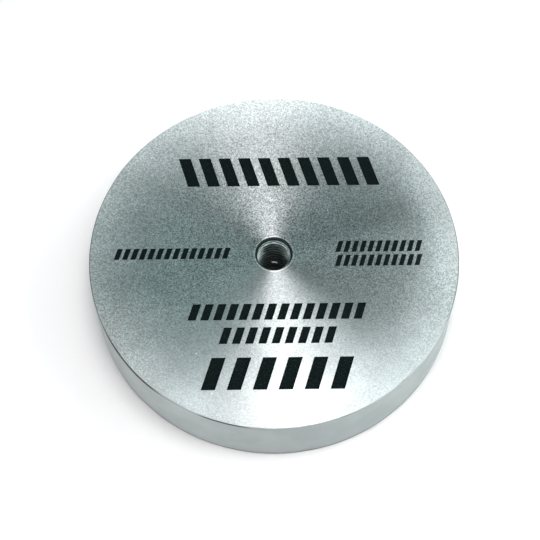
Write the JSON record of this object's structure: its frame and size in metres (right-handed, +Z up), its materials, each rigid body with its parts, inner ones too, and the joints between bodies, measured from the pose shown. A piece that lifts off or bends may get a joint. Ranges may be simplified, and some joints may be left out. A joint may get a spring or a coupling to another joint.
{
  "type": "magnet fishing magnet",
  "caption": "Round single-sided pot magnet for magnet fishing: a thick steel disc, magnets potted in its underside, and a tapped hole in the top for an eyebolt.",
  "frame": {"origin": "centre of the working face, on the plane of the cup's rim that the magnet stands on", "axes": "+Z up along the axis, out of the eyebolt's hole in the top face; X and Y are interchangeable, with a magnet segment centred on +X"},
  "size_m": [0.12, 0.12, 0.024],
  "materials": {
    "faced_steel": "satin",
    "core_steel": "satin",
    "spacer_nylon": "matte",
    "adhesive": "satin",
    "nickel_plate": "satin",
    "resin": "gloss",
    "printing_ink": "matte"
  },
  "bodies": {
    "root": {"cup": "faced_steel", "centre_core": "core_steel", "outer_spacer_ring": "spacer_nylon", "inner_spacer_ring": "spacer_nylon", "adhesive_layer": "adhesive", "magnet_segment_01": "nickel_plate", "magnet_segment_02": "nickel_plate", "magnet_segment_03": "nickel_plate", "magnet_segment_04": "nickel_plate", "magnet_segment_05": "nickel_plate", "magnet_segment_06": "nickel_plate", "magnet_segment_07": "nickel_plate", "magnet_segment_08": "nickel_plate", "magnet_segment_09": "nickel_plate", "magnet_segment_10": "nickel_plate", "magnet_segment_11": "nickel_plate", "magnet_segment_12": "nickel_plate", "potting_resin": "resin"}
  },
  "joints": []
}
